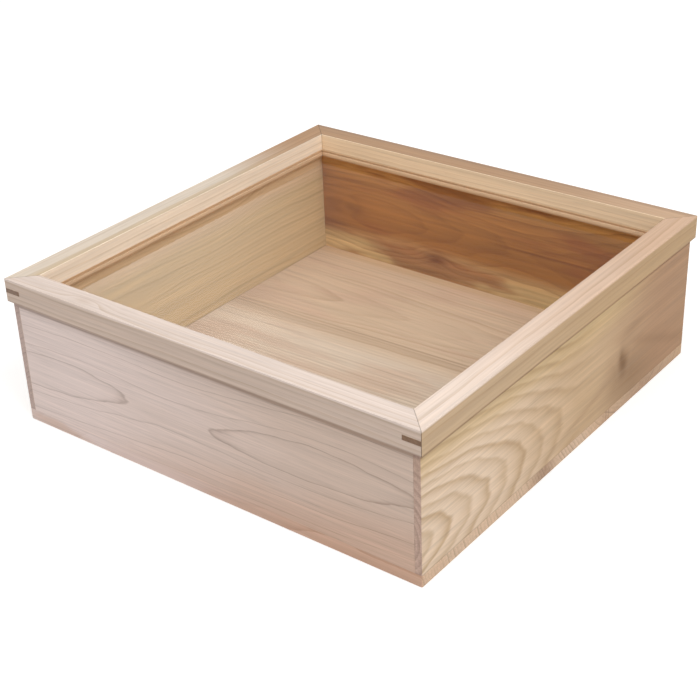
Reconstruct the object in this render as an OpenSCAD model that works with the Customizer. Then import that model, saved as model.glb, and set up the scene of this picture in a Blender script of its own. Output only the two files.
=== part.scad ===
// Square wooden display case, open inside, with a glazed lid that lifts straight off.
// The origin is the centre of the underside, +Z is up and the front faces -Y.

/* [Box] */
// Outside width of the box, left to right
box_w = 394; // [240:1:600]
// Outside depth of the box, front to back
box_d = 394; // [240:1:600]
// Height of the box without its lid
box_h = 110; // [60:1:200]
// Thickness of the four wall boards
wall_t = 12; // [9:0.5:18]
// Thickness of the bottom board
bottom_t = 10; // [6:0.5:16]
// Wood left at the rabbeted ends of the side boards, seen as end grain on the front
end_strip = 6; // [3:0.5:8]

/* [Lid frame] */
// How far the lid stands out past the box on every side
lid_overhang = 3; // [0:0.5:10]
// Height of the lid rails
rail_h = 20; // [18:0.5:30]
// Thickness of the tongues at the ends of the side rails
tongue_t = 4; // [3:0.5:6]
// Depth from the top of the lid down to the tongues
tongue_depth = 8; // [4:0.5:10]

/* [Glazing] */
// Thickness of the glass pane
glass_t = 3; // [2:0.5:4]
// Gap between the edge of the glass and the rebate that it lies in
glass_gap = 0.5; // [0.2:0.1:1.5]
// Width of the glazing beads, and of the rebate that they fill
bead_w = 4.5; // [3:0.5:8]
// Height of the glazing beads
bead_h = 4; // [3:0.5:8]
// How far the beads reach down into the mouth of the box
bead_drop = 2; // [1:0.5:2.5]
// Play between the beads and the walls of the box
lid_play = 0.5; // [0.3:0.1:1.5]

/* [Bottom nails] */
// Number of nails that hold the bottom board to each wall
nails_per_wall = 3; // [2:1:6]
// Distance of the outer nails of a row from the corner of the box
nail_inset = 42; // [24:1:60]
// Length of a nail from the top of its head to its point
nail_l = 28; // [20:1:36]
// Diameter of the nail shanks
nail_d = 1.6; // [1.2:0.1:2.4]
// Diameter of the nail heads
nail_head_d = 3.2; // [2.8:0.1:4.5]
// Thickness of the nail heads
nail_head_t = 0.8; // [0.5:0.1:1.5]
// Length of the nail points
nail_point = 3; // [1:0.5:5]
// How far the nail heads are set in above the underside
nail_sink = 0.4; // [0.2:0.1:1]
// Clearance round each nail
nail_gap = 0.1; // [0.05:0.05:0.3]

/* [Hidden] */
$fn = 32;

// Far enough past a face to cut clean through it
cut = 1;
// Height of the wall boards, which stand on the bottom board
wall_h = box_h - bottom_t;

// The rails cover the wall, the play and the beads
rail_w = lid_overhang + wall_t + lid_play + bead_w;
lid_w = box_w + 2 * lid_overhang;
lid_d = box_d + 2 * lid_overhang;

// The rebate holds the glass with the upper part of the beads under it
rebate_h = glass_t + bead_h - bead_drop;
rebate_w = lid_w - 2 * (rail_w - bead_w);
rebate_d = lid_d - 2 * (rail_w - bead_w);

// The tongues are as wide as the wood outside the rebate
tongue_w = rail_w - bead_w;
tongue_z = box_h + rail_h - tongue_depth - tongue_t;

pale = "#e2d0b4";
tan = "#d9be97";
pink = "#cdb9a6";
red_brown = "#b58a63";
cream = "#ead9bd";

// A block centred in plan on x, y with its underside at z
module block(size, x, y, z) {
    translate([x - size[0] / 2, y - size[1] / 2, z])
        cube(size);
}

// Outline of the front member of a mitred w by d frame whose members are band wide
module front_outline(w, d, band) {
    polygon([[-w / 2, -d / 2], [w / 2, -d / 2], [w / 2 - band, -d / 2 + band], [-w / 2 + band, -d / 2 + band]]);
}

// Outline of the right member of the same frame
module right_outline(w, d, band) {
    polygon([[w / 2, -d / 2], [w / 2, d / 2], [w / 2 - band, d / 2 - band], [w / 2 - band, -d / 2 + band]]);
}

// Nails

// Places of the nails along a wall of a given length
function nail_row(length) =
    [for (i = [0 : nails_per_wall - 1]) -length / 2 + nail_inset + i * (length - 2 * nail_inset) / (nails_per_wall - 1)];

// Its children at every nail, on the centre line of each wall
module at_nails() {
    for (end = [-1, 1]) {
        for (x = nail_row(box_w))
            translate([x, end * (box_d - wall_t) / 2, 0])
                children();
        for (y = nail_row(box_d))
            translate([end * (box_w - wall_t) / 2, y, 0])
                children();
    }
}

// One nail, head down, grown all round by gap where it makes its hole
module nail(gap) {
    cylinder(h = nail_l - nail_point + gap, d = nail_d + 2 * gap);
    translate([0, 0, nail_l - nail_point + gap])
        cylinder(h = nail_point, d1 = nail_d + 2 * gap, d2 = 0.2 + 2 * gap);
}

module nails() {
    at_nails()
        translate([0, 0, nail_sink]) {
            nail(0);
            cylinder(h = nail_head_t, d = nail_head_d);
        }
}

module nail_holes() {
    at_nails() {
        translate([0, 0, nail_sink])
            nail(nail_gap);
        translate([0, 0, -cut])
            cylinder(h = cut + nail_sink + nail_head_t, d = nail_head_d + 2 * nail_gap);
    }
}

// Box

module bottom_board() {
    color(pale)
        difference() {
            block([box_w, box_d, bottom_t], 0, 0, 0);
            nail_holes();
        }
}

// Front board for side -1 and back board for side 1, which stand between the end strips
module cross_board(side) {
    block([box_w - 2 * end_strip, wall_t, wall_h], 0, side * (box_d - wall_t) / 2, bottom_t);
}

module front_board() {
    color(pink)
        difference() {
            cross_board(-1);
            nail_holes();
        }
}

module back_board() {
    color(red_brown)
        difference() {
            cross_board(1);
            nail_holes();
        }
}

// Left board for side -1 and right board for side 1, rabbeted for the front and back boards
module side_board(side) {
    difference() {
        block([wall_t, box_d, wall_h], side * (box_w - wall_t) / 2, 0, bottom_t);
        cross_board(-1);
        cross_board(1);
        nail_holes();
    }
}

module left_board() {
    color(tan)
        side_board(-1);
}

module right_board() {
    color(tan)
        side_board(1);
}

module bottom_nails() {
    color("silver")
        nails();
}

// Lid

// Space for the glass and the beads, open to the underside of the lid
module rebate() {
    block([rebate_w, rebate_d, cut + rebate_h], 0, 0, box_h - cut);
}

// Tongue of a side rail through the corner at the given ends of X and Y
module tongue(x_end, y_end) {
    block([tongue_w, rail_w, tongue_t], x_end * (lid_w - tongue_w) / 2, y_end * (lid_d - rail_w) / 2, tongue_z);
}

// Front rail of the lid, slotted for the tongues of the side rails
module cross_rail() {
    difference() {
        translate([0, 0, box_h])
            linear_extrude(rail_h)
                front_outline(lid_w, lid_d, rail_w);
        rebate();
        tongue(-1, -1);
        tongue(1, -1);
    }
}

// Right rail of the lid with a tongue at each end
module side_rail() {
    difference() {
        translate([0, 0, box_h])
            linear_extrude(rail_h)
                right_outline(lid_w, lid_d, rail_w);
        rebate();
    }
    tongue(1, -1);
    tongue(1, 1);
}

module lid_front_rail() {
    color(cream)
        cross_rail();
}

module lid_back_rail() {
    color(cream)
        mirror([0, 1, 0])
            cross_rail();
}

module lid_left_rail() {
    color(cream)
        mirror([1, 0, 0])
            side_rail();
}

module lid_right_rail() {
    color(cream)
        side_rail();
}

module glass_pane() {
    color("lightcyan", 0.3)
        block([rebate_w - 2 * glass_gap, rebate_d - 2 * glass_gap, glass_t], 0, 0, box_h + rebate_h - glass_t);
}

// One bead under the glass, mitred to its neighbours, from its outline
module bead() {
    translate([0, 0, box_h - bead_drop])
        linear_extrude(bead_h)
            children();
}

module glazing_bead_front() {
    color(tan)
        bead()
            front_outline(rebate_w, rebate_d, bead_w);
}

module glazing_bead_back() {
    color(tan)
        mirror([0, 1, 0])
            bead()
                front_outline(rebate_w, rebate_d, bead_w);
}

module glazing_bead_left() {
    color(tan)
        mirror([1, 0, 0])
            bead()
                right_outline(rebate_w, rebate_d, bead_w);
}

module glazing_bead_right() {
    color(tan)
        bead()
            right_outline(rebate_w, rebate_d, bead_w);
}

bottom_board();
front_board();
back_board();
left_board();
right_board();
bottom_nails();
lid_front_rail();
lid_back_rail();
lid_left_rail();
lid_right_rail();
glass_pane();
glazing_bead_front();
glazing_bead_back();
glazing_bead_left();
glazing_bead_right();
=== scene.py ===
"""Finish of a square wooden display case with a glazed lid that lifts straight off.

Everything is in metres: +Z is up, the front faces -Y, and the origin is the centre of the underside.
"""

import logging
import math
from dataclasses import dataclass, field
from enum import Enum
from typing import Any, Mapping, Optional, Sequence, Union

import bmesh
import bpy
import numpy as np
from mathutils import Matrix, Vector


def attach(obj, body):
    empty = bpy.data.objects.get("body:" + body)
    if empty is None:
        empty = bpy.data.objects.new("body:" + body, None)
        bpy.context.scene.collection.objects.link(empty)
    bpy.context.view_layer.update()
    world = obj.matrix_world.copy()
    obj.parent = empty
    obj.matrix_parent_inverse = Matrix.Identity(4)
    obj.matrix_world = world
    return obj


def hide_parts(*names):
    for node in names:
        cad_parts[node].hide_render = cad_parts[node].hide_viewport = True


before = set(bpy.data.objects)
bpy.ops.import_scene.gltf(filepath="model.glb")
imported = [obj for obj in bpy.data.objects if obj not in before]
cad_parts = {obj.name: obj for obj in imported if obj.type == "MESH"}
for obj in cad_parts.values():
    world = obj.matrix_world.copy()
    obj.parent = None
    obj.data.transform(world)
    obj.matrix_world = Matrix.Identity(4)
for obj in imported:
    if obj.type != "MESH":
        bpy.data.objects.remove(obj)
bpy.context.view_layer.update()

log = logging.getLogger("display_case")
SAME_POINT = 1e-7
CAD_WELD = 1e-6
LAMP_AIM = (0, 0, 0.06)
WHITE = (1.0, 1.0, 1.0, 1.0)
Colour = tuple[float, float, float, float]
Settings = Mapping[str, Any]
Sockets = Mapping[Union[int, str], Any]


def rgb(red: int, green: int, blue: int) -> Colour:
    """Scene colour of a screen colour given in steps of 0 to 255.

    Args:
        red, green, blue: the steps.

    Returns:
        Linear red, green and blue, with full alpha.
    """
    steps = np.array([red, green, blue]) / 255
    linear = np.where(steps <= 0.04045, steps / 12.92, ((steps + 0.055) / 1.055) ** 2.4)
    return (float(linear[0]), float(linear[1]), float(linear[2]), 1.0)


class Value:
    """A number, vector or colour on a socket; arithmetic on numbers adds Math nodes."""

    def __init__(self, bench: "Bench", socket: bpy.types.NodeSocket) -> None:
        """Hold a socket and the bench that its node lies on."""
        self.bench = bench
        self.socket = socket

    def __add__(self, other: "Term") -> "Value":
        """Sum."""
        return self.bench.math("ADD", self, other)

    __radd__ = __add__

    def __sub__(self, other: "Term") -> "Value":
        """Difference."""
        return self.bench.math("SUBTRACT", self, other)

    def __rsub__(self, other: "Term") -> "Value":
        """Difference from a plain number."""
        return self.bench.math("SUBTRACT", other, self)

    def __mul__(self, other: "Term") -> "Value":
        """Product."""
        return self.bench.math("MULTIPLY", self, other)

    __rmul__ = __mul__

    def __truediv__(self, other: "Term") -> "Value":
        """Quotient."""
        return self.bench.math("DIVIDE", self, other)

    def __pow__(self, other: "Term") -> "Value":
        """Power."""
        return self.bench.math("POWER", self, other)

    def __abs__(self) -> "Value":
        """Size without sign."""
        return self.bench.math("ABSOLUTE", self)


Term = Union[Value, float]
Ways = tuple[Value, Value, Value]


class Bench:
    """A node tree on which a finish is put together."""

    def __init__(self, tree: bpy.types.NodeTree, material: Optional[bpy.types.Material] = None) -> None:
        """Clear the tree for work, and hold the material that it belongs to, if there is one."""
        self.tree = tree
        self.material = material
        self.tree.nodes.clear()

    @classmethod
    def for_material(cls, name: str) -> "Bench":
        """Start a new material.

        Args:
            name: the material's name.

        Returns:
            The bench of its node tree.
        """
        material = bpy.data.materials.new(name)
        material.use_nodes = True
        return cls(material.node_tree, material)

    def add(self, kind: str, settings: Settings, sockets: Sockets) -> bpy.types.Node:
        """Add any node.

        Args:
            kind: Blender's name of the node's type.
            settings: properties of the node, set first.
            sockets: numbers, tuples or Values for its inputs.

        Returns:
            The new node.
        """
        item = self.tree.nodes.new(kind)
        for name, setting in settings.items():
            setattr(item, name, setting)
        for name, value in sockets.items():
            if isinstance(value, Value):
                self.tree.links.new(value.socket, item.inputs[name])
            else:
                item.inputs[name].default_value = value
        return item

    def node(self, kind: str, settings: Settings, sockets: Sockets, output: Union[int, str] = 0) -> Value:
        """Add a node for one of its outputs.

        Args:
            kind, settings, sockets: as for add.
            output: the output to hand on.

        Returns:
            The chosen output.
        """
        return Value(self, self.add(kind, settings, sockets).outputs[output])

    def math(self, operation: str, *terms: Term) -> Value:
        """Add one Math node.

        Args:
            operation: the node's operation.
            *terms: its operands in order.

        Returns:
            The node's result.
        """
        return self.node("ShaderNodeMath", {"operation": operation}, dict(enumerate(terms)))

    def place(self, output: str = "Object") -> Ways:
        """Split a texture coordinate.

        Args:
            output: Object for the place, Normal for the way the surface faces.

        Returns:
            Its x, y and z.
        """
        vector = self.node("ShaderNodeTexCoord", {}, {}, output)
        split = self.node("ShaderNodeSeparateXYZ", {}, {0: vector})
        outputs = split.socket.node.outputs
        return (split, Value(self, outputs[1]), Value(self, outputs[2]))

    def noise(self, x: Term, y: Term, z: Term, detail: float = 2.0) -> Value:
        """Smooth noise about 0, from about -0.5 to 0.5, at a point given in its own units."""
        point = self.node("ShaderNodeCombineXYZ", {}, {0: x, 1: y, 2: z})
        sockets = {"Vector": point, "Scale": 1.0, "Detail": detail, "Roughness": 0.5}
        return self.node("ShaderNodeTexNoise", {"noise_dimensions": "3D"}, sockets) - 0.5

    def ease(self, value: Term, start: float, end: float) -> Value:
        """Smooth step from 0 where value is at start to 1 where it is at end."""
        settings = {"interpolation_type": "SMOOTHSTEP"}
        return self.node("ShaderNodeMapRange", settings, {0: value, 1: start, 2: end, 3: 0.0, 4: 1.0})

    def mix(self, share: Term, first: Any, second: Any, blend: str = "MIX") -> Value:
        """Blend of two colours, the second by share."""
        settings = {"data_type": "RGBA", "clamp_factor": True, "blend_type": blend}
        return self.node("ShaderNodeMix", settings, {0: share, 6: first, 7: second}, 2)

    def scale(self, colour: Any, factor: Term) -> Value:
        """Colour made brighter or darker by a factor."""
        return self.node("ShaderNodeVectorMath", {"operation": "SCALE"}, {0: colour, 3: factor})

    def finish(
        self, shader: Value, kind: str = "ShaderNodeOutputMaterial"
    ) -> Optional[bpy.types.Material]:
        """Join the shader to the output.

        Args:
            shader: the finished surface.
            kind: type of the output node.

        Returns:
            The material, or None on a world's tree.
        """
        self.add(kind, {}, {"Surface": shader})
        return self.material


class Lay(Enum):
    """How a board lies: the axes of its run, across and depth."""

    WALL_X = (0, 2, 1)
    WALL_Y = (1, 2, 0)
    FLAT_X = (0, 1, 2)
    FLAT_Y = (1, 0, 2)


class Way(Enum):
    """Along the grain, across the face or through the thickness, as an index into a lay."""

    RUN = 0
    ACROSS = 1
    DEPTH = 2


@dataclass(frozen=True)
class Tint:
    """Another colour, of the wood or of painted light or shade, which comes in from start to end along
    one way of the board.

    A slant moves the edge of a tint across the face by that much per metre of run.
    """

    colour: Colour
    way: Way
    start: float
    end: float
    share: float = 1.0
    slant: float = 0.0


@dataclass(frozen=True)
class Knot:
    """A knot or smudge of darker wood, round which the rings swerve."""

    run: float
    across: float
    length: float
    width: float
    swerve: float
    darkness: float


@dataclass(frozen=True)
class Streak:
    """A darker line along the grain, across a face at height + slope * run."""

    height: float
    slope: float
    width: float
    darkness: float
    start: float = -0.25
    end: float = 0.25


@dataclass(frozen=True)
class Grain:
    """Noise drawn out along the grain, given by its waves per metre along and across it."""

    along: float
    across: float
    detail: float = 2.0
    shift: float = 0.0

    def on(self, bench: Bench, ways: Ways) -> Value:
        """Noise about 0 at a place on a board."""
        run, across, depth = ways
        start = run * self.along
        if self.shift:
            start = start + self.shift
        return bench.noise(start, across * self.across, depth * self.across, self.detail)


CLOUD = Grain(7, 22, 3.0)
WARM_PATCH = Grain(9, 45, 3.0, 3)
DRIFT = Grain(6, 16)
RIPPLE = Grain(30, 90, 3.0)
STRAND = Grain(5, 230, 2.0, 2)
FIBRE = Grain(14, 700, 3.0)
PORE = Grain(45, 1300, 1.0, 7)
SPECK = Grain(60, 1500)

# Noise levels between which a feature comes in
PORE_LEVELS = (0.13, 0.24)
WARM_LEVELS = (-0.02, 0.16)
# How squarely a surface has to face along the grain to show end grain
END_LEVELS = (0.45, 0.85)
# Distance from a mitre, in metres, at which its dark seam comes in
SEAM_LEVELS = (0.0006, 0.0002)
# Share of the light that each feature takes away
SEAM_SHADE = 0.38
PORE_SHADE = 0.10
END_SPECK_SHADE = 0.5
END_RING_SHADE = 0.35
# Height of the fibres, pores and rings, as shares of the bump's depth
FIBRE_HEIGHT, PORE_HEIGHT, RING_HEIGHT = 0.5, 0.6, 0.35
# Roughness of the wood, with what the fibres add and the late wood takes
ROUGHNESS, FIBRE_ROUGHNESS, RING_SHEEN = 0.56, 0.25, 0.08
# Share of the rings' contrast that goes where the wood is calm
CALM_SHARE = 0.75
# How strongly the strands break up a knot, and how far past the knot the rings swerve
KNOT_STRANDS = 1.5
SWERVE_SPREAD = 1.6
# How far the noise moves the edge of a knot, a streak, and a tint as a share of its width
KNOT_JITTER = 0.03
STREAK_JITTER = 0.006
TINT_JITTER = 0.6
# Length over which a streak fades at its ends, and the rounding where the pith levels out
STREAK_FADE = 0.03
LEVEL_ROUNDING = 0.008


@dataclass(frozen=True)
class Timber:
    """Wood of one board, as rings round the pith of the log that it was sawn from.

    A point's ring is its distance from the pith over the ring width. The pith runs along the grain. Its
    distance from the face grows with run_out up to level and swells as a cosine, which makes the arches
    and lenses of the figure. Noise drawn out along the grain makes the rings wander and ripple.

    Attributes:
        ground, late: colour of the early wood, and what the late wood multiplies it by.
        pith: the pith's place across the face and in depth.
        ring, phase: width of a ring, and a shift in rings.
        lean, blunt: the pith's drift across the face per metre, and how flat the arches are.
        run_out, run_start, level: the pith's slope in depth, where it starts and how far it goes.
        swell, swell_at, swell_length: height, middle and length of the cosine.
        wander, ripple: how far noise moves the pith in metres, and the rings in rings.
        sharp, fall: power that narrows the late wood, and the share of a ring in which it ends.
        contrast, evenness: strength of the late wood, and how alike the years are.
        year, hard_years: seed of the years' strengths, and the rings that are always strong.
        warm, warmth: colour and strength of the warm patches.
        tints, skin: tints under the warm patches, and one over them.
        patch, streaky, fibrous: strength of the clouds, strands and fibres.
        end, end_share: colour and strength of the end grain.
        dark, knots, streaks: the knots and streaks, and the colour of both.
        calm: stretch of the run over which the rings grow faint.
        mitre: whether a dark seam shows where mitred pieces meet.
    """

    name: str
    lay: Lay
    ground: Colour
    late: Colour
    pith: tuple[float, float]
    ring: float = 0.003
    phase: float = 0.0
    lean: float = 0.0
    blunt: float = 1.0
    run_out: float = 0.0
    run_start: float = 0.0
    level: float = 0.027
    swell: float = 0.0
    swell_at: float = 0.0
    swell_length: float = 0.3
    wander: float = 0.010
    ripple: float = 0.5
    sharp: float = 4.0
    fall: float = 0.07
    contrast: float = 0.7
    evenness: float = 0.3
    year: float = 0.0
    hard_years: tuple[int, ...] = ()
    warm: Optional[Colour] = None
    warmth: float = 0.0
    tints: tuple[Tint, ...] = ()
    skin: Optional[Tint] = None
    patch: float = 0.10
    streaky: float = 0.26
    fibrous: float = 0.38
    end: Colour = rgb(184, 154, 142)
    end_share: float = 0.8
    dark: Colour = rgb(120, 82, 56)
    calm: Optional[tuple[float, float]] = None
    mitre: bool = False
    knots: tuple[Knot, ...] = ()
    streaks: tuple[Streak, ...] = ()

    def material(self) -> bpy.types.Material:
        """Put the wood's nodes together.

        Returns:
            The finished material.
        """
        bench = Bench.for_material(self.name)
        place = bench.place()
        run, across, depth = (place[axis] for axis in self.lay.value)
        ways = (run, across, depth)
        cloud, strand, fibre, speck = (grain.on(bench, ways) for grain in (CLOUD, STRAND, FIBRE, SPECK))
        pore = bench.ease(PORE.on(bench, ways), *PORE_LEVELS)
        latewood = self._latewood(bench, ways)
        end = bench.ease(abs(bench.place("Normal")[self.lay.value[0]]), *END_LEVELS)

        colour = self._early_wood(bench, ways, cloud)
        colour = bench.mix(latewood * self.contrast, colour, self.late, "MULTIPLY")
        colour = bench.mix(end * self.end_share, colour, self.end)
        for streak in self.streaks:
            colour = bench.mix(self._streak(bench, streak, ways, cloud), colour, self.dark)
        for knot in self.knots:
            share = self._knot(bench, knot, ways, cloud) * knot.darkness
            colour = bench.mix(share * (1 + strand * KNOT_STRANDS), colour, self.dark)

        light = 1 + cloud * self.patch + strand * self.streaky + fibre * self.fibrous - pore * PORE_SHADE
        light = light * (1 - end * (speck * END_SPECK_SHADE + latewood * END_RING_SHADE))
        if self.mitre:
            seam = abs(abs(place[0]) - abs(place[1]))
            light = light * (1 - SEAM_SHADE * bench.ease(seam, *SEAM_LEVELS))

        height = fibre * FIBRE_HEIGHT - pore * PORE_HEIGHT + latewood * RING_HEIGHT
        bump = {"Strength": 0.25, "Distance": 0.00025, "Height": height}
        sockets = {
            "Base Color": bench.scale(colour, light),
            "Roughness": ROUGHNESS + fibre * FIBRE_ROUGHNESS - latewood * RING_SHEEN,
            "Specular IOR Level": 0.2,
            "Normal": bench.node("ShaderNodeBump", {}, bump),
        }
        return bench.finish(bench.node("ShaderNodeBsdfPrincipled", {}, sockets))

    def _early_wood(self, bench: Bench, ways: Ways, cloud: Value) -> Any:
        """Lay the tints, the warm patches and the skin over the ground.

        Args:
            bench: bench to work on.
            ways: place by run, across and depth.
            cloud: noise that moves the tints' edges.

        Returns:
            The early wood's colour.
        """
        colour = self.ground
        for tint in self.tints:
            colour = self._tinted(bench, tint, colour, ways, cloud)
        if self.warm:
            patch = bench.ease(WARM_PATCH.on(bench, ways), *WARM_LEVELS)
            colour = bench.mix(patch * self.warmth, colour, self.warm)
        if self.skin:
            colour = self._tinted(bench, self.skin, colour, ways, cloud)
        return colour

    @staticmethod
    def _tinted(bench: Bench, tint: Tint, colour: Any, ways: Ways, cloud: Value) -> Value:
        """Lay a tint over a colour, with its edge blurred by the cloud.

        Args:
            bench: bench to work on.
            tint: the tint.
            colour: what it lies over.
            ways: place by run, across and depth.
            cloud: noise that moves the edge.

        Returns:
            The tinted colour.
        """
        place = ways[tint.way.value] + cloud * (TINT_JITTER * (tint.end - tint.start))
        if tint.slant:
            place = place - ways[Way.RUN.value] * tint.slant
        share = bench.ease(place, tint.start, tint.end) * tint.share
        return bench.mix(share, colour, tint.colour)

    def _latewood(self, bench: Bench, ways: Ways) -> Value:
        """Find the late wood, the dark line at the end of each ring.

        Args:
            bench: bench to work on.
            ways: place by run, across and depth.

        Returns:
            0 in early wood, up to 1 in the late wood of a strong year.
        """
        rings = self._rings(bench, ways)
        line = bench.math("FRACT", rings)
        latewood = (line ** self.sharp) * bench.ease(line, 1.0, 1 - self.fall)
        count = bench.math("FLOOR", rings)
        seed = {"W": count + self.year}
        vigour = bench.node("ShaderNodeTexWhiteNoise", {"noise_dimensions": "1D"}, seed)
        for number in self.hard_years:
            vigour = bench.math("MAXIMUM", vigour, bench.math("COMPARE", count, float(number), 0.5))
        latewood = latewood * (self.evenness + (1 - self.evenness) * vigour * vigour)
        if self.calm:
            latewood = latewood * (1 - CALM_SHARE * bench.ease(ways[Way.RUN.value], *self.calm))
        return latewood

    def _rings(self, bench: Bench, ways: Ways) -> Value:
        """Work out the growth rings.

        Args:
            bench: bench to work on.
            ways: place by run, across and depth.

        Returns:
            The ring number, with the place between two rings as its fraction.
        """
        run, across, depth = ways
        away = depth - self.pith[1]
        if self.run_out:
            slope = (run - self.run_start) * abs(self.run_out)
            reach = bench.math("SMOOTH_MIN", slope, self.level, LEVEL_ROUNDING)
            away = away - reach * math.copysign(1.0, self.run_out)
        if self.swell:
            turn = (run - self.swell_at) * (2 * math.pi / self.swell_length)
            away = away - bench.math("COSINE", turn) * self.swell
        drift = DRIFT.on(bench, ways) * self.wander
        side = (across - run * self.lean - self.pith[0] + drift) / self.blunt
        radius = bench.math("SQRT", side * side + away * away)
        rings = radius / self.ring + self.phase
        if self.ripple:
            rings = rings + RIPPLE.on(bench, ways) * self.ripple
        for knot in self.knots:
            rings = rings + self._knot(bench, knot, ways, drift, SWERVE_SPREAD) * knot.swerve
        return rings

    @staticmethod
    def _knot(bench: Bench, knot: Knot, ways: Ways, jitter: Value, spread: float = 1.0) -> Value:
        """Bell round a knot: exp(-(distance in its own half lengths) squared).

        Args:
            bench: bench to work on.
            knot: the knot.
            ways: place by run, across and depth.
            jitter: noise that keeps the edge from being a clean oval.
            spread: how far past the knot the bell reaches.

        Returns:
            1 at the knot, falling to 0 around it.
        """
        run, across, _ = ways
        ahead = (run - knot.run) / (knot.length * spread)
        aside = (across - knot.across + jitter * KNOT_JITTER) / (knot.width * spread)
        return bench.math("EXPONENT", (ahead * ahead + aside * aside) * -1.0)

    @staticmethod
    def _streak(bench: Bench, streak: Streak, ways: Ways, jitter: Value) -> Value:
        """Bell across a streak, faded at its two ends.

        Args:
            bench: bench to work on.
            streak: the streak.
            ways: place by run, across and depth.
            jitter: noise that bends the line a little.

        Returns:
            The streak's darkness, 0 away from it.
        """
        run, across, _ = ways
        aside = (across - run * streak.slope - streak.height + jitter * STREAK_JITTER) / streak.width
        bell = bench.math("EXPONENT", aside * aside * -1.0)
        start = bench.ease(run, streak.start - STREAK_FADE, streak.start + STREAK_FADE)
        end = bench.ease(run, streak.end + STREAK_FADE, streak.end - STREAK_FADE)
        return bell * (start * end) * streak.darkness


GLUE_LINE = Tint(rgb(120, 84, 56), Way.ACROSS, 0.0112, 0.0102, 0.4)
# Painted shade: a dark band at the top of a wall, where the lid and the beads shade it
PAINTED_EAVES_SHADE = Tint(rgb(128, 92, 62), Way.ACROSS, 0.1042, 0.1064, 0.45)
FRONT_WOOD = Timber(
    "front_wood", Lay.WALL_X, rgb(228, 210, 203), rgb(140, 118, 104), pith=(0.0605, -0.1546),
    ring=0.0031, phase=0.968, lean=0.043, swell=0.0018, swell_at=-0.033, swell_length=0.272,
    wander=0.008, ripple=0.45, sharp=13.0, contrast=0.95, evenness=0.2, year=4.0, hard_years=(14, 18),
    tints=(
        Tint(rgb(207, 185, 170), Way.RUN, -0.16, 0.16),
        Tint(rgb(200, 162, 138), Way.ACROSS, 0.042, -0.008, 0.55, slant=0.15),
        # painted shade at the top of the wall, under the lid
        PAINTED_EAVES_SHADE,
    ),
)
RIGHT_WOOD = Timber(
    "right_wood", Lay.WALL_Y, rgb(220, 197, 173), rgb(182, 158, 106), pith=(0.036, 0.187),
    ring=0.0033, phase=0.33, blunt=2.1, run_out=-0.136, run_start=-0.197, wander=0.010, ripple=0.75,
    sharp=1.7, fall=0.3, contrast=1.0, evenness=0.55, year=11.0, streaky=0.34, fibrous=0.44,
    dark=rgb(108, 74, 40), calm=(-0.03, 0.06),
    tints=(
        Tint(rgb(197, 168, 134), Way.RUN, -0.14, 0.03),
        Tint(rgb(198, 170, 124), Way.ACROSS, 0.080, 0.104, 0.7),
        Tint(rgb(171, 135, 104), Way.RUN, 0.03, 0.16),
        # Painted shade: a dark band at the top of the wall, under the lid
        Tint(rgb(110, 74, 44), Way.ACROSS, 0.1051, 0.1064, 0.6),
        GLUE_LINE,
    ),
    knots=(
        Knot(0.087, 0.042, 0.007, 0.011, 1.0, 0.8),
        Knot(0.083, 0.052, 0.004, 0.009, 0.0, 0.5),
        Knot(0.080, 0.042, 0.024, 0.018, 0.0, 0.2),
        Knot(0.098, 0.020, 0.040, 0.030, 0.0, 0.45),
        Knot(0.100, 0.072, 0.022, 0.005, 0.0, 0.25),
    ),
    streaks=(
        Streak(0.022, 0.22, 0.0035, 0.22, -0.02, 0.06),
        Streak(0.100, -0.42, 0.005, 0.2, 0.10, 0.20),
    ),
)
LEFT_WOOD = Timber(
    "left_wood", Lay.WALL_Y, rgb(211, 182, 136), rgb(190, 168, 128), pith=(-0.060, -0.110),
    ring=0.0036, wander=0.020, ripple=0.5, sharp=1.8, contrast=0.55, evenness=0.3, year=21.0,
    end=rgb(190, 168, 162), end_share=0.9,
    tints=(
        # Painted light: the top of the wall made lighter against the shade under the lid
        Tint(rgb(220, 188, 154), Way.ACROSS, 0.080, 0.10, 0.8),
        Tint(rgb(216, 186, 156), Way.DEPTH, -0.1885, -0.1955, 0.8),
        # painted shade at the top of the wall, under the lid
        PAINTED_EAVES_SHADE,
        GLUE_LINE,
    ),
)
BACK_WOOD = Timber(
    "back_wood", Lay.WALL_X, rgb(174, 114, 48), rgb(150, 104, 66), pith=(0.060, 0.225),
    ring=0.0042, swell=-0.006, swell_at=-0.12, swell_length=0.33, wander=0.026, ripple=0.8,
    sharp=2.0, contrast=0.5, evenness=0.45, year=31.0, patch=0.5, streaky=0.5, fibrous=0.5,
    warm=rgb(158, 92, 44), warmth=0.75, dark=rgb(92, 44, 22),
    tints=(
        Tint(rgb(182, 122, 58), Way.ACROSS, 0.060, 0.080, 0.7),
        # Painted light: the top of the wall made lighter against the shade under the lid
        Tint(rgb(212, 154, 86), Way.ACROSS, 0.088, 0.102),
        Tint(rgb(234, 203, 148), Way.ACROSS, 0.043, 0.019, 0.95),
    ),
    skin=Tint(rgb(206, 166, 128), Way.DEPTH, 0.1885, 0.1955, 0.85),
    knots=(Knot(-0.052, 0.031, 0.013, 0.008, 1.6, 0.55), Knot(-0.150, 0.060, 0.010, 0.006, 0.8, 0.35)),
    streaks=(Streak(0.061, 0.02, 0.0013, 0.55, 0.02, 0.12), Streak(0.052, 0.02, 0.004, 0.2, -0.1, 0.1)),
)
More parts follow.
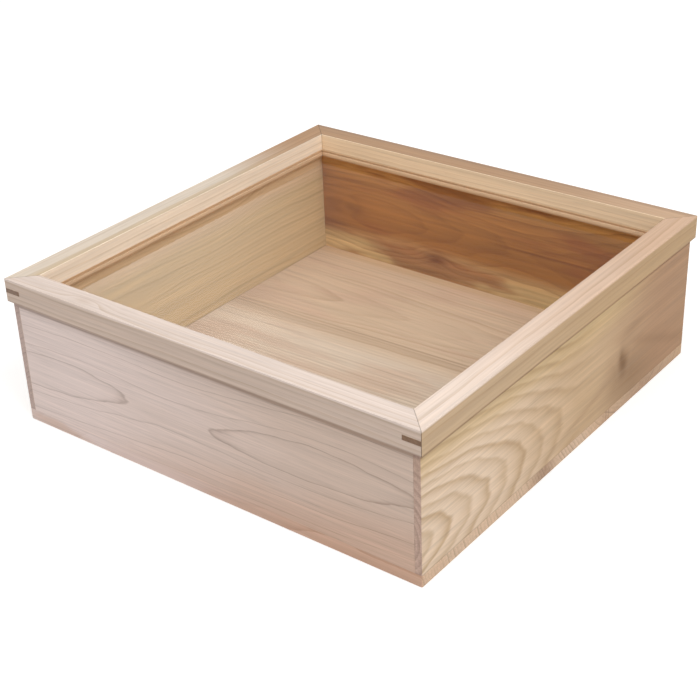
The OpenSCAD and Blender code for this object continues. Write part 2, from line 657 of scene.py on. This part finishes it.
BOTTOM_WOOD = Timber(
    "bottom_wood", Lay.FLAT_X, rgb(212, 184, 158), rgb(192, 166, 142), pith=(0.100, 0.048),
    ring=0.0036, lean=0.02, run_out=0.05, run_start=-0.2, level=0.02, wander=0.014, ripple=0.5,
    sharp=2.5, contrast=0.6, evenness=0.2, year=43.0, warm=rgb(206, 172, 150), warmth=0.5,
    end=rgb(206, 174, 142), end_share=0.6,
    tints=(
        Tint(rgb(220, 199, 180), Way.ACROSS, 0.05, 0.02),
        Tint(rgb(205, 170, 133), Way.ACROSS, 0.168, 0.180, 0.7),
        Tint(rgb(227, 209, 203), Way.ACROSS, -0.190, -0.196),
        Tint(rgb(203, 166, 143), Way.ACROSS, -0.1932, -0.2008, slant=0.02),
    ),
    knots=(Knot(0.197, -0.031, 0.006, 0.019, 0.0, 0.5), Knot(0.197, 0.13, 0.006, 0.06, 0.0, 0.4)),
    streaks=(
        Streak(0.0585, 0.035, 0.0011, 0.35),
        Streak(0.0545, 0.035, 0.0012, 0.3),
        Streak(0.050, 0.035, 0.004, 0.15),
    ),
)
# Painted shade: the lowest millimetre of the lid rails darkened, for the shadow of the gap between lid
# and box
PAINTED_UNDER_EDGE_SHADE = Tint(rgb(128, 92, 62), Way.DEPTH, 0.1116, 0.1104, 0.35)
LID_SHADES = {
    # Front rail: painted shade darkens its faces below the top, and its lowest edge
    "front": (rgb(223, 207, 197), Tint(rgb(205, 185, 171), Way.DEPTH, 0.1296, 0.1276), PAINTED_UNDER_EDGE_SHADE),
    "back": (
        rgb(179, 144, 113),
        Tint(rgb(199, 167, 138), Way.RUN, 0.0, 0.19),
        Tint(rgb(158, 130, 108), Way.ACROSS, 0.192, 0.199, 0.6),
        # Painted light: the rail's inner flank made lighter, for the light that falls on it
        Tint(rgb(245, 220, 188), Way.ACROSS, 0.1812, 0.1803),
    ),
    "left": (
        rgb(222, 208, 192),
        Tint(rgb(200, 178, 147), Way.ACROSS, -0.189, -0.182, 0.9),
        # Painted shade: darker towards the back end, where less light falls
        Tint(rgb(180, 144, 112), Way.RUN, 0.02, 0.16),
        # Painted light: the rail's inner flank made lighter, for the light that falls on it
        Tint(rgb(248, 231, 211), Way.ACROSS, -0.1812, -0.1803),
    ),
    "right": (
        rgb(231, 213, 200),
        # Painted shade: darker towards the back end, where less light falls
        Tint(rgb(207, 175, 149), Way.RUN, -0.17, 0.16),
        # Painted shade: the rail's faces below the top darker than the top
        Tint(rgb(176, 146, 105), Way.DEPTH, 0.1296, 0.1276, 0.8),
        PAINTED_UNDER_EDGE_SHADE,
    ),
}


def lid_timber(side: str) -> Timber:
    """Straight-grained pale wood of one lid rail, sawn far from the pith.

    Args:
        side: front, back, left or right.

    Returns:
        The rail's timber.
    """
    ground, *tints = LID_SHADES[side]
    along_x = side in ("front", "back")
    sign = -1 if side in ("front", "left") else 1
    return Timber(
        f"lid_wood_{side}", Lay.FLAT_X if along_x else Lay.FLAT_Y, ground, rgb(212, 196, 168),
        pith=(sign * 0.11, 0.02), ring=0.0032, wander=0.010, ripple=0.4, sharp=2.0, contrast=0.68,
        evenness=0.25, year=50.0 + 7 * list(LID_SHADES).index(side), patch=0.06, mitre=True,
        streaky=0.34, tints=tuple(tints), end=rgb(118, 88, 70), end_share=0.85,
        knots=(Knot(-0.118, -0.191, 0.012, 0.003, 1.8, 0.12),) if side == "front" else (),
    )


def bead_timber(along_x: bool) -> Timber:
    """Pale straight-grained wood of the glazing beads."""
    name, lay = ("bead_wood_across", Lay.FLAT_X) if along_x else ("bead_wood_along", Lay.FLAT_Y)
    return Timber(
        name, lay, rgb(233, 199, 166), rgb(210, 188, 156), pith=(0.35, 0.02), ring=0.0025,
        wander=0.006, contrast=0.6, year=90.0, mitre=True,
        # Painted shade: the bead's lower edge, in the gap inside the wall, darkened
        tints=(Tint(rgb(186, 146, 110), Way.DEPTH, 0.1104, 0.1086, 0.75),),
    )


@dataclass(frozen=True)
class SheetGlass:
    """Clear low-reflection sheet with a faint green cast, fine wipe marks and ground edges.

    The mirror's share is head_on seen square on, and rises by grazing times slant to the power of steep.
    The ground edges, which lie in the rebate, are painted the brown of the wood around them and glow a
    little with it, as painted light.
    """

    name: str = "clear_glass"
    cast: Colour = (0.984, 0.992, 0.987, 1.0)
    mirror: Colour = (0.95, 0.97, 0.96, 1.0)
    head_on: float = 0.006
    grazing: float = 0.4
    steep: float = 5.0
    wiped: float = 0.12
    wipe_levels: tuple[float, float] = (0.05, 0.3)
    half: float = 0.184
    rim: tuple[float, float] = (0.0002, 0.0001)
    edge: Colour = (0.42, 0.30, 0.19, 1.0)
    painted_edge_glow: Colour = (0.62, 0.42, 0.25, 1.0)
    painted_glow_strength: float = 0.68

    def material(self) -> bpy.types.Material:
        """Mix a clear and a mirror surface, with more mirror the lower the angle that it is seen at.

        Returns:
            The finished material.
        """
        bench = Bench.for_material(self.name)
        x, y, z = bench.place()
        wipe = bench.ease(bench.noise(x * 30 + y * 22, y * 8 - x * 4, z, 4.0), *self.wipe_levels)
        clear = bench.node("ShaderNodeBsdfTransparent", {}, {"Color": self.cast})
        sheen = {"Base Color": self.mirror, "Metallic": 1.0, "Roughness": 0.0}
        gloss = bench.node("ShaderNodeBsdfPrincipled", {}, sheen)
        slant = bench.node("ShaderNodeLayerWeight", {}, {"Blend": 0.5}, "Facing")
        outside = 1 - bench.node("ShaderNodeNewGeometry", {}, {}, "Backfacing")
        share = (self.head_on + slant ** self.steep * self.grazing) * outside * (1 - wipe * self.wiped)
        sheet = bench.node("ShaderNodeMixShader", {}, {0: share, 1: clear, 2: gloss})
        # Painted light: the edges take the wood's brown and glow with it
        ground = {
            "Base Color": self.edge,
            "Roughness": 0.7,
            "Emission Color": self.painted_edge_glow,
            "Emission Strength": self.painted_glow_strength,
        }
        edge = bench.node("ShaderNodeBsdfPrincipled", {}, ground)
        out = bench.math("MAXIMUM", abs(x), abs(y))
        rim = bench.ease(out, *(self.half - inset for inset in self.rim))
        return bench.finish(bench.node("ShaderNodeMixShader", {}, {0: rim, 1: sheet, 2: edge}))


@dataclass(frozen=True)
class NailSteel:
    """Bright drawn wire with scuffed heads; the waves of both are given per metre of x, y and z."""

    name: str = "nail_steel"
    colour: Colour = (0.52, 0.52, 0.54, 1.0)
    scuffed: Colour = (0.36, 0.34, 0.32, 1.0)
    scuff_levels: tuple[float, float] = (-0.1, 0.25)
    drawn_waves: tuple[float, float, float] = (3000, 3000, 90)
    scuff_waves: tuple[float, float, float] = (700, 500, 700)

    def material(self) -> bpy.types.Material:
        """Brush the steel along the shank and scuff it across the head.

        Returns:
            The finished material.
        """
        bench = Bench.for_material(self.name)
        place = bench.place()
        drawn = bench.noise(*(way * waves for way, waves in zip(place, self.drawn_waves)), 2.0)
        scuff = bench.noise(*(way * waves for way, waves in zip(place, self.scuff_waves)), 4.0)
        tone = bench.mix(bench.ease(scuff, *self.scuff_levels), self.colour, self.scuffed)
        bump = {"Strength": 0.3, "Distance": 0.00005, "Height": drawn + scuff}
        sockets = {
            "Base Color": tone,
            "Metallic": 1.0,
            "Roughness": 0.36 + drawn * 0.3 + scuff * 0.2,
            "Normal": bench.node("ShaderNodeBump", {}, bump),
        }
        return bench.finish(bench.node("ShaderNodeBsdfPrincipled", {}, sockets))


def rectangle(left: float, near: float, right: float, far: float) -> list[tuple[float, float]]:
    """Corners of a rectangle in plan, anticlockwise."""
    return [(left, near), (right, near), (right, far), (left, far)]


def mesh_object(name: str, points: np.ndarray, faces: Sequence[Sequence[int]]) -> bpy.types.Object:
    """Make an object at the origin from whole arrays, with doubled points merged.

    Args:
        name: the object's name.
        points: one row per point.
        faces: point numbers of each face, outwards.

    Returns:
        The linked object.
    """
    mesh = bpy.data.meshes.new(name)
    mesh.from_pydata(points, [], faces)
    work = bmesh.new()
    work.from_mesh(mesh)
    bmesh.ops.remove_doubles(work, verts=work.verts, dist=SAME_POINT)
    work.to_mesh(mesh)
    work.free()
    item = bpy.data.objects.new(name, mesh)
    bpy.context.scene.collection.objects.link(item)
    return item


def grid_faces(rows: int, columns: int) -> list[list[int]]:
    """Quads of a grid that closes on itself along its columns.

    Args:
        rows: number of rows of points, upwards.
        columns: number of points round each row, anticlockwise from above.

    Returns:
        Point numbers of each quad, facing out.
    """
    index = np.arange(rows * columns).reshape(rows, columns)
    ahead = np.roll(index, -1, axis=1)
    quads = np.stack([index[:-1], ahead[:-1], ahead[1:], index[1:]], axis=-1)
    return quads.reshape(-1, 4).tolist()


@dataclass(frozen=True)
class Upright:
    """A board of constant outline in plan, with rounded upright arrises and eased ends.

    The surface is carried up a quarter circle, a straight and another quarter circle. At an inset d a
    corner of radius r is its point moved in along the mitre by max(d, r), plus max(r - d, 0) along the
    direction that turns from one edge's normal to the next edge's.
    """

    corners: Sequence[tuple[float, float]]
    rounding: Sequence[float]
    low: float
    high: float
    ease_low: float = 0.00025
    ease_high: float = 0.0005
    steps: int = 4

    def mesh(self, name: str) -> bpy.types.Object:
        """Build the board.

        Args:
            name: the piece's name.

        Returns:
            The new object.
        """
        corner = np.array(self.corners)
        edge = np.roll(corner, -1, axis=0) - corner
        edge /= np.linalg.norm(edge, axis=1, keepdims=True)
        leaving = np.stack([edge[:, 1], -edge[:, 0]], axis=1)
        arriving = np.roll(leaving, 1, axis=0)
        dot = np.sum(leaving * arriving, axis=1)
        cross = arriving[:, 0] * leaving[:, 1] - arriving[:, 1] * leaving[:, 0]
        mitre = -(leaving + arriving) / (1 + dot)[:, None]
        turn = np.arctan2(arriving[:, 1], arriving[:, 0])[:, None]
        turn = turn + np.arctan2(cross, dot)[:, None] * np.linspace(0, 1, self.steps + 1)
        outward = np.stack([np.cos(turn), np.sin(turn)], axis=-1)

        angle = np.linspace(0, math.pi / 2, self.steps + 1)
        aside, along = 1 - np.sin(angle), 1 - np.cos(angle)
        inset = np.concatenate([self.ease_low * aside, self.ease_high * aside[::-1]])
        foot, head = self.low + self.ease_low * along, self.high - self.ease_high * along[::-1]
        height = np.concatenate([foot, head])
        radius = np.array(self.rounding)[None, :]
        moved = np.maximum(inset[:, None], radius)[:, :, None, None] * mitre[None, :, None, :]
        arc = np.maximum(radius - inset[:, None], 0)[:, :, None, None] * outward[None]
        plan = (corner[None, :, None, :] + moved + arc).reshape(len(inset), -1, 2)
        level = np.broadcast_to(height[:, None, None], plan.shape[:2] + (1,))
        points = np.concatenate([plan, level], axis=-1).reshape(-1, 3)

        columns = plan.shape[1]
        faces = grid_faces(len(inset), columns)
        faces.append(list(range(columns))[::-1])
        faces.append(list(range(len(points) - columns, len(points))))
        return mesh_object(name, points, faces)


def turned(
    name: str, profile: Sequence[tuple[float, float]], places: np.ndarray, around: int
) -> bpy.types.Object:
    """Turn a profile about an upright axis and set a copy at each place.

    A point is place + (radius cos a, radius sin a, height) for each profile point and each angle a.

    Args:
        name: the piece's name.
        profile: radius and height from the lower pole to the upper one.
        places: x and y of each axis.
        around: number of points round the axis.

    Returns:
        The new object.
    """
    shape = np.array(profile)
    angle = np.arange(around) * (2 * math.pi / around)
    ring = np.stack([np.cos(angle), np.sin(angle)], axis=-1)
    plan = places[:, None, None, :] + shape[None, :, None, :1] * ring[None, None]
    level = np.broadcast_to(shape[None, :, None, 1:], plan.shape[:3] + (1,))
    points = np.concatenate([plan, level], axis=-1)
    quads = np.array(grid_faces(len(shape), around))
    start = np.arange(len(places))[:, None, None] * (len(shape) * around)
    return mesh_object(name, points.reshape(-1, 3), (quads[None] + start).reshape(-1, 4).tolist())


def baked_boolean(item: bpy.types.Object, cutter: bpy.types.Object) -> None:
    """Cut one object out of another and keep the result as the mesh.

    Args:
        item: the object to cut.
        cutter: the space to take away.
    """
    modifier = item.modifiers.new("bores", "BOOLEAN")
    modifier.object = cutter
    modifier.solver = "EXACT"
    result = item.evaluated_get(bpy.context.evaluated_depsgraph_get())
    mesh = bpy.data.meshes.new_from_object(result)
    item.modifiers.clear()
    item.data = mesh


def put_on(item: bpy.types.Object, material: bpy.types.Material) -> None:
    """Give the whole object one material."""
    item.data.materials.clear()
    item.data.materials.append(material)


@dataclass
class Nails:
    """Wire nails, heads down, that hold the bottom board to the walls.

    The dome and the rim are points of the head, as a share of its radius and a distance from its low or
    its high face. The facet is a point of the tip, as shares of the shank's radius and the tip's length.
    The bores start below the board, so that they cut clean through its underside.
    """

    row: tuple[float, ...] = (-0.155, 0.0, 0.155)
    line: float = 0.191
    sink: float = 0.0004
    head_radius: float = 0.0016
    head_height: float = 0.0008
    shank_radius: float = 0.0008
    length: float = 0.028
    point: float = 0.003
    gap: float = 0.0001
    below: float = 0.001
    dome: tuple[tuple[float, float], ...] = (
        (0.0, 0.0), (0.45, 0.00002), (0.8, 0.00008), (0.95, 0.0002), (1.0, 0.0004),
    )
    rim: tuple[tuple[float, float], ...] = ((0.97, 0.00008), (0.9, 0.0))
    facet: tuple[float, float] = (0.5, 0.4)
    around: int = 24
    bore_around: int = 32

    def places(self) -> np.ndarray:
        """Work out the nails' axes.

        Returns:
            x and y of each, along the four walls.
        """
        along = np.array(self.row)
        line = np.full_like(along, self.line)
        rows = [(along, -line), (along, line), (-line, along), (line, along)]
        return np.concatenate([np.stack(row, axis=-1) for row in rows])

    def build(self) -> bpy.types.Object:
        """Make the nails, with a shallow dome on each head and a faceted point.

        Returns:
            The nails as one piece.
        """
        low, head, shank = self.sink, self.head_radius, self.shank_radius
        top = low + self.head_height
        tip = low + self.length
        profile = [(head * share, low + rise) for share, rise in self.dome]
        profile += [(head * share, top - fall) for share, fall in self.rim]
        profile += [(shank, top), (shank, tip - self.point)]
        profile += [(shank * self.facet[0], tip - self.point * self.facet[1]), (0.0, tip)]
        nails = turned("wire_nails", profile, self.places(), self.around)
        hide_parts("bottom_nails")
        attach(nails, "box")
        put_on(nails, NailSteel().material())
        return nails

    def bores(self) -> bpy.types.Object:
        """Make the space that the nails take in the boards.

        Returns:
            A cutter, to be removed after use.
        """
        wide, narrow = self.head_radius + self.gap, self.shank_radius + self.gap
        top = self.sink + self.head_height
        tip = self.sink + self.length
        profile = [(0.0, -self.below), (wide, -self.below), (wide, top), (narrow, top)]
        profile += [(narrow, tip - self.point + self.gap), (0.0, tip + self.gap)]
        return turned("nail_bores", profile, self.places(), self.bore_around)


@dataclass
class Box:
    """The open box: bottom board, front and back boards, and rabbeted side boards."""

    half: float = 0.197
    wall: float = 0.012
    bottom: float = 0.010
    height: float = 0.110
    strip: float = 0.006
    outer_round: float = 0.0008
    under_round: float = 0.0006
    joint_round: float = 0.00025
    nails: Nails = field(default_factory=Nails)

    def bottom_board(self) -> bpy.types.Object:
        """Build the bottom board, planted under the walls."""
        corners = rectangle(-self.half, -self.half, self.half, self.half)
        rounding = [self.outer_round] * len(corners)
        board = Upright(corners, rounding, 0.0, self.bottom, self.under_round, self.joint_round)
        return board.mesh("floor_board")

    def cross_board(self, name: str, side: int) -> bpy.types.Object:
        """Build the front board (side -1) or the back board (side 1).

        Args:
            name: the piece's name.
            side: sign of the board's y.

        Returns:
            The new object.
        """
        reach = self.half - self.strip
        near, far = sorted((side * self.half, side * (self.half - self.wall)))
        corners = rectangle(-reach, near, reach, far)
        return Upright(corners, [self.joint_round] * len(corners), self.bottom, self.height).mesh(name)

    def side_board(self, name: str, side: int) -> bpy.types.Object:
        """Build the left board (side -1) or the right board (side 1), rabbeted at both ends.

        Args:
            name: the piece's name.
            side: sign of the board's x.

        Returns:
            The new object.
        """
        outer, lap, inner = self.half, self.half - self.strip, self.half - self.wall
        corners = [
            (inner, -inner), (lap, -inner), (lap, -outer), (outer, -outer),
            (outer, outer), (lap, outer), (lap, inner), (inner, inner),
        ]
        big, small = self.outer_round, self.joint_round
        rounding = [small, 0.0, small, big, big, small, 0.0, small]
        if side < 0:
            corners = [(-x, y) for x, y in corners[::-1]]
            rounding = rounding[::-1]
        return Upright(corners, rounding, self.bottom, self.height).mesh(name)

    def build(self) -> list[bpy.types.Object]:
        """Build, bore and dress every board, and drive the nails.

        Returns:
            The finished pieces.
        """
        boards = [
            (self.bottom_board(), "bottom_board", "bottom_wood", BOTTOM_WOOD),
            (self.cross_board("front_wall", -1), "front_board", "front_wood", FRONT_WOOD),
            (self.cross_board("back_wall", 1), "back_board", "back_wood", BACK_WOOD),
            (self.side_board("left_wall", -1), "left_board", "side_wood", LEFT_WOOD),
            (self.side_board("right_wall", 1), "right_board", "side_wood", RIGHT_WOOD),
        ]
        cutter = self.nails.bores()
        for board, node, slot, timber in boards:
            baked_boolean(board, cutter)
            put_on(board, timber.material())
            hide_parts(node)
            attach(board, "box")
        bpy.data.objects.remove(cutter)
        return [board for board, *_ in boards] + [self.nails.build()]


@dataclass
class Lid:
    """The glazed frame: four mitred rails with tongued corners, the pane, and the beads under it."""

    rail_ease: float = 0.00035
    bead_ease: float = 0.0004
    glass_ease: float = 0.0003
    segments: int = 3
    least_turn: float = 40.0

    def ease_arrises(self, item: bpy.types.Object, width: float) -> None:
        """Take off the sharp edges of a CAD piece, whose loose triangles are welded first.

        Args:
            item: the CAD piece.
            width: width of the easing.
        """
        weld = item.modifiers.new("weld", "WELD")
        weld.merge_threshold = CAD_WELD
        bevel = item.modifiers.new("arris", "BEVEL")
        bevel.width = width
        bevel.segments = self.segments
        bevel.limit_method = "ANGLE"
        bevel.angle_limit = math.radians(self.least_turn)

    def build(self) -> list[bpy.types.Object]:
        """Ease and dress the rails, the beads and the pane.

        Returns:
            The finished pieces.
        """
        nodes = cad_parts
        pieces = []
        beads = {along_x: bead_timber(along_x).material() for along_x in (True, False)}
        for side in LID_SHADES:
            rail = nodes[f"lid_{side}_rail"]
            self.ease_arrises(rail, self.rail_ease)
            put_on(rail, lid_timber(side).material())
            bead = nodes[f"glazing_bead_{side}"]
            self.ease_arrises(bead, self.bead_ease)
            put_on(bead, beads[side in ("front", "back")])
            pieces += [rail, bead]
        pane = nodes["glass_pane"]
        self.ease_arrises(pane, self.glass_ease)
        put_on(pane, SheetGlass().material())
        return pieces + [pane]


@dataclass(frozen=True)
class Lamp:
    """A square soft lamp at a place, turned to the case."""

    name: str
    place: tuple[float, float, float]
    size: float
    power: float
    colour: tuple[float, float, float]

    def hang(self) -> bpy.types.Object:
        """Hang the lamp.

        Returns:
            The lamp's object.
        """
        data = bpy.data.lights.new(self.name, "AREA")
        data.size = self.size
        data.energy = self.power
        data.color = self.colour
        lamp = bpy.data.objects.new(self.name, data)
        lamp.location = self.place
        lamp.rotation_euler = (Vector(LAMP_AIM) - lamp.location).to_track_quat("-Z", "Y").to_euler()
        bpy.context.scene.collection.objects.link(lamp)
        return lamp


@dataclass
class Studio:
    """Pale floor, soft lamps, pale surroundings and the camera.

    The floor glows by floor_lift, and by far_lift more past the distances in far. The window fades
    between the angles in window_spread.
    """

    azimuth: float = 38.335
    elevation: float = 29.276
    roll: float = 2.313
    distance: float = 1.17243
    aim: tuple[float, float, float] = (0.02545, -0.04942, 0.065)
    lens: float = 75.712
    ambient: float = 0.5
    floor_lift: float = 0.4
    far_lift: float = 0.35
    far: tuple[float, float] = (0.8, 2.4)
    floor_reach: float = 6.0
    floor_drop: float = 0.0002
    floor_tones: tuple[Colour, Colour] = ((0.82, 0.82, 0.82, 1.0), (0.80, 0.80, 0.80, 1.0))
    window: tuple[float, float, float] = (-0.734, 0.512, 0.446)
    window_light: float = 4.5
    window_spread: tuple[float, float] = (16.0, 4.0)
    lamps: tuple[Lamp, ...] = (
        Lamp("key", (-0.3, -0.9, 2.2), 1.2, 16.0, (1.0, 0.99, 0.98)),
        Lamp("side", (1.4, -0.3, 1.6), 1.4, 22.0, (1.0, 0.98, 0.95)),
    )

    def set_camera(self) -> bpy.types.Object:
        """Stand the camera at its bearing, height and distance from the aim, leaning by the roll.

        Returns:
            The camera.
        """
        bearing, height, lean = (math.radians(a) for a in (self.azimuth, self.elevation, self.roll))
        flat = math.cos(height)
        ahead = Vector((-math.sin(bearing) * flat, math.cos(bearing) * flat, -math.sin(height)))
        level = ahead.cross(Vector((0, 0, 1))).normalized()
        right = level * math.cos(lean) + ahead.cross(level) * math.sin(lean)
        up = right.cross(ahead)
        data = bpy.data.cameras.new("camera")
        data.lens = self.lens
        data.clip_start = 0.01
        camera = bpy.data.objects.new("camera", data)
        turn = Matrix((right, up, -ahead)).transposed().to_4x4()
        camera.matrix_world = Matrix.Translation(Vector(self.aim) - ahead * self.distance) @ turn
        bpy.context.scene.collection.objects.link(camera)
        bpy.context.scene.camera = camera
        return camera

    @staticmethod
    def seen_plainly(bench: Bench) -> Value:
        """Tell rays that should see the pale surroundings from those that only light the case."""
        kinds = ("Camera", "Glossy", "Transmission")
        seen, *others = (bench.node("ShaderNodeLightPath", {}, {}, f"Is {kind} Ray") for kind in kinds)
        for other in others:
            seen = bench.math("MAXIMUM", seen, other)
        return seen

    def set_world(self) -> None:
        """Make the surroundings white to look at, and a soft light on the case.

        In sharp reflections alone, a soft bright window stands behind the case at the left.
        """
        world = bpy.data.worlds.new("surroundings")
        world.use_nodes = True
        bench = Bench(world.node_tree)
        way = bench.node("ShaderNodeTexCoord", {}, {}, "Generated")
        toward = bench.node(
            "ShaderNodeVectorMath", {"operation": "DOT_PRODUCT"}, {0: way, 1: self.window}, "Value"
        )
        sharp = bench.node("ShaderNodeLightPath", {}, {}, "Is Singular Ray")
        start, end = (math.cos(math.radians(angle)) for angle in self.window_spread)
        glow = bench.ease(toward, start, end) * sharp
        strength = self.ambient + self.seen_plainly(bench) * (1 - self.ambient) + glow * self.window_light
        sky = bench.node("ShaderNodeBackground", {}, {"Color": WHITE, "Strength": strength})
        bench.finish(sky, "ShaderNodeOutputWorld")
        bpy.context.scene.world = world

    def lay_floor(self) -> bpy.types.Object:
        """Lay a wide white floor, a hair under the case, that keeps its shadow.

        Returns:
            The floor.
        """
        plan = rectangle(-self.floor_reach, -self.floor_reach, self.floor_reach, self.floor_reach)
        points = np.array([(x, y, -self.floor_drop) for x, y in plan])
        floor = mesh_object("studio_floor", points, [[0, 1, 2, 3]])
        bench = Bench.for_material("studio_floor")
        x, y, z = bench.place()
        tone = bench.mix(bench.noise(x * 3, y * 3, z, 2.0) + 0.5, *self.floor_tones)
        matt = bench.node("ShaderNodeBsdfDiffuse", {}, {"Color": tone})
        away = bench.math("SQRT", x * x + y * y)
        glow = self.floor_lift + bench.ease(away, *self.far) * self.far_lift
        white = bench.scale(WHITE[:3], self.seen_plainly(bench) * glow)
        lift = bench.node("ShaderNodeEmission", {}, {"Color": white})
        put_on(floor, bench.finish(bench.node("ShaderNodeAddShader", {}, {0: matt, 1: lift})))
        return floor

    def build(self) -> None:
        """Set the camera, the surroundings, the floor and the lamps."""
        self.set_camera()
        self.set_world()
        self.lay_floor()
        for lamp in self.lamps:
            lamp.hang()
        bpy.context.scene.view_settings.view_transform = "Standard"


def main() -> None:
    """Build the studio, the box and the lid, and report each piece with its number of points."""
    logging.basicConfig(level=logging.INFO, format="%(name)s: %(message)s")
    Studio().build()
    for assembly in (Box(), Lid()):
        for piece in assembly.build():
            points = len(piece.data.vertices)
            log.info("%s: %s with %d points", type(assembly).__name__, piece.name, points)


if __name__ == "__main__":
    main()
